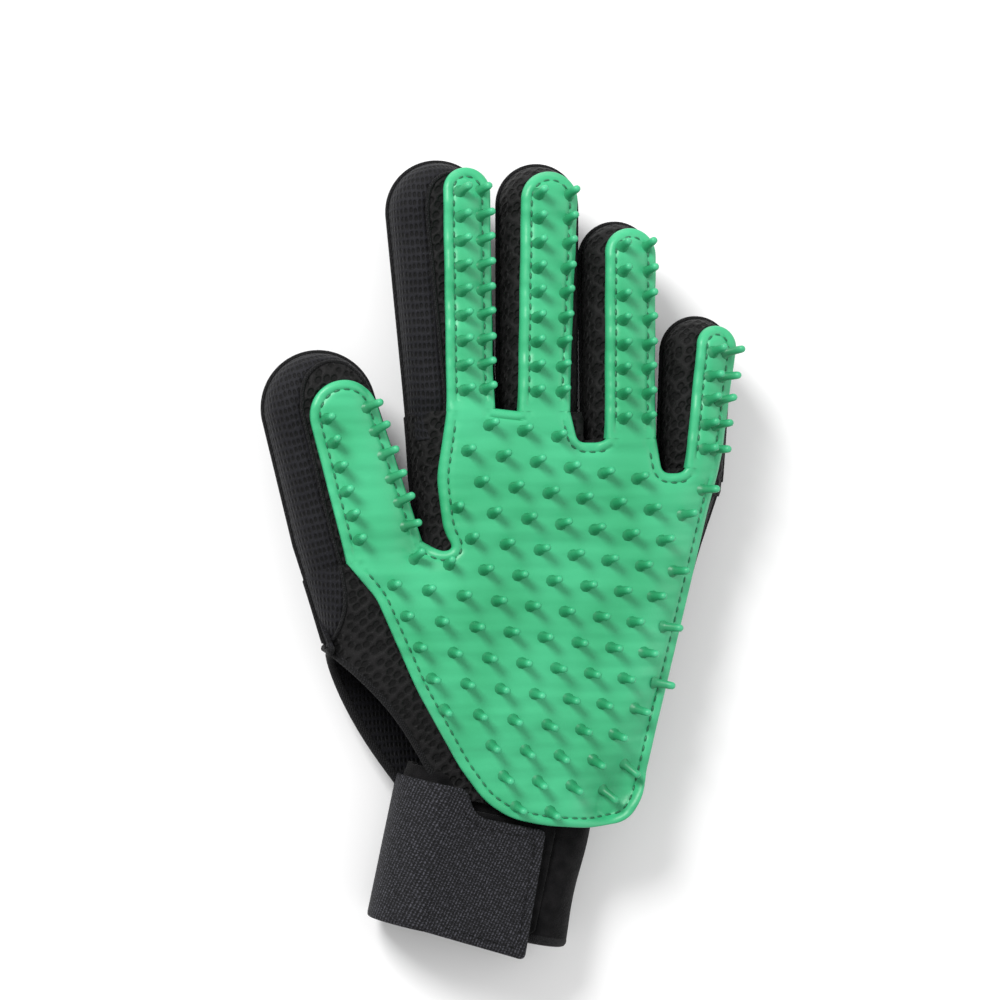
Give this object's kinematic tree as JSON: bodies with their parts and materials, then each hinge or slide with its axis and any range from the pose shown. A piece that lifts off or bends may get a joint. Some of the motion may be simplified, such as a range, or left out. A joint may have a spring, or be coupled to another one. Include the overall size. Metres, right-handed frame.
{
  "type": "pet grooming glove",
  "caption": "Five-finger left-hand pet grooming glove: black mesh and knit fabric, moulded green rubber pin plate over palm and fingers, wrist cuff with hook-and-loop strap.",
  "frame": {"origin": "under the middle of the glove's plan, on the surface that its back rests on", "axes": "+Y along the fingers, +Z out of the palm towards the pins, -X towards the thumb"},
  "size_m": [0.1438, 0.2398, 0.038],
  "materials": {
    "green_rubber": "soft satin moulded rubber",
    "mesh_fabric": "black open spacer mesh",
    "back_knit": "black stretch knit with small cells",
    "strap_webbing": "dark grey-black woven elastic",
    "loop_pile": "matt black velvet loop pile",
    "binding_tape": "black folded tape",
    "hook_nylon": "black moulded hooks"
  },
  "bodies": {
    "root": {"palm_rubber": "green_rubber", "palm_mesh": "mesh_fabric", "back_panel": "back_knit", "little_side_gusset": "mesh_fabric", "web_gusset": "mesh_fabric", "thumb_base_gusset": "mesh_fabric", "vent_binding": "binding_tape", "cuff_band": "loop_pile", "cuff_binding": "binding_tape", "loop_patch": "loop_pile", "strap_wrap": "strap_webbing", "thumb_knuckle": "back_knit", "index_knuckle": "back_knit", "middle_knuckle": "back_knit", "ring_knuckle": "back_knit", "little_knuckle": "back_knit"},
    "strap": {"strap_tab": "strap_webbing", "hook_patch": "hook_nylon"},
    "thumb": {"thumb_rubber": "green_rubber", "thumb_mesh": "mesh_fabric", "thumb_gusset": "mesh_fabric", "thumb_back": "back_knit"},
    "index": {"index_rubber": "green_rubber", "index_mesh": "mesh_fabric", "index_gusset": "mesh_fabric", "index_back": "back_knit"},
    "middle": {"middle_rubber": "green_rubber", "middle_mesh": "mesh_fabric", "middle_gusset": "mesh_fabric", "middle_back": "back_knit"},
    "ring": {"ring_rubber": "green_rubber", "ring_mesh": "mesh_fabric", "ring_gusset": "mesh_fabric", "ring_back": "back_knit"},
    "little": {"little_rubber": "green_rubber", "little_mesh": "mesh_fabric", "little_gusset": "mesh_fabric", "little_back": "back_knit"}
  },
  "joints": [
    {"name": "thumb_flex", "type": "hinge", "parent": "root", "child": "thumb", "pos_m": [-0.04345, 0.00408, 0.025], "axis": [0.9613, 0.2756, 0], "range_deg": [0, 45], "deforming": ["thumb_knuckle"]},
    {"name": "index_flex", "type": "hinge", "parent": "root", "child": "index", "pos_m": [-0.01545, 0.04808, 0.025], "axis": [0.9977, 0.068, 0], "range_deg": [0, 60], "deforming": ["index_knuckle"]},
    {"name": "middle_flex", "type": "hinge", "parent": "root", "child": "middle", "pos_m": [0.01145, 0.04808, 0.025], "axis": [1, 0, 0], "range_deg": [0, 60], "deforming": ["middle_knuckle"]},
    {"name": "ring_flex", "type": "hinge", "parent": "root", "child": "ring", "pos_m": [0.03685, 0.04008, 0.025], "axis": [0.9998, 0.0175, 0], "range_deg": [0, 60], "deforming": ["ring_knuckle"]},
    {"name": "little_flex", "type": "hinge", "parent": "root", "child": "little", "pos_m": [0.05965, 0.03108, 0.025], "axis": [0.9986, -0.0523, 0], "range_deg": [0, 60], "deforming": ["little_knuckle"]},
    {"name": "strap_peel", "type": "hinge", "parent": "root", "child": "strap", "pos_m": [-0.02028, -0.08884, 0.02775], "axis": [-0.2079, -0.9781, 0], "range_deg": [0, 150]}
  ]
}
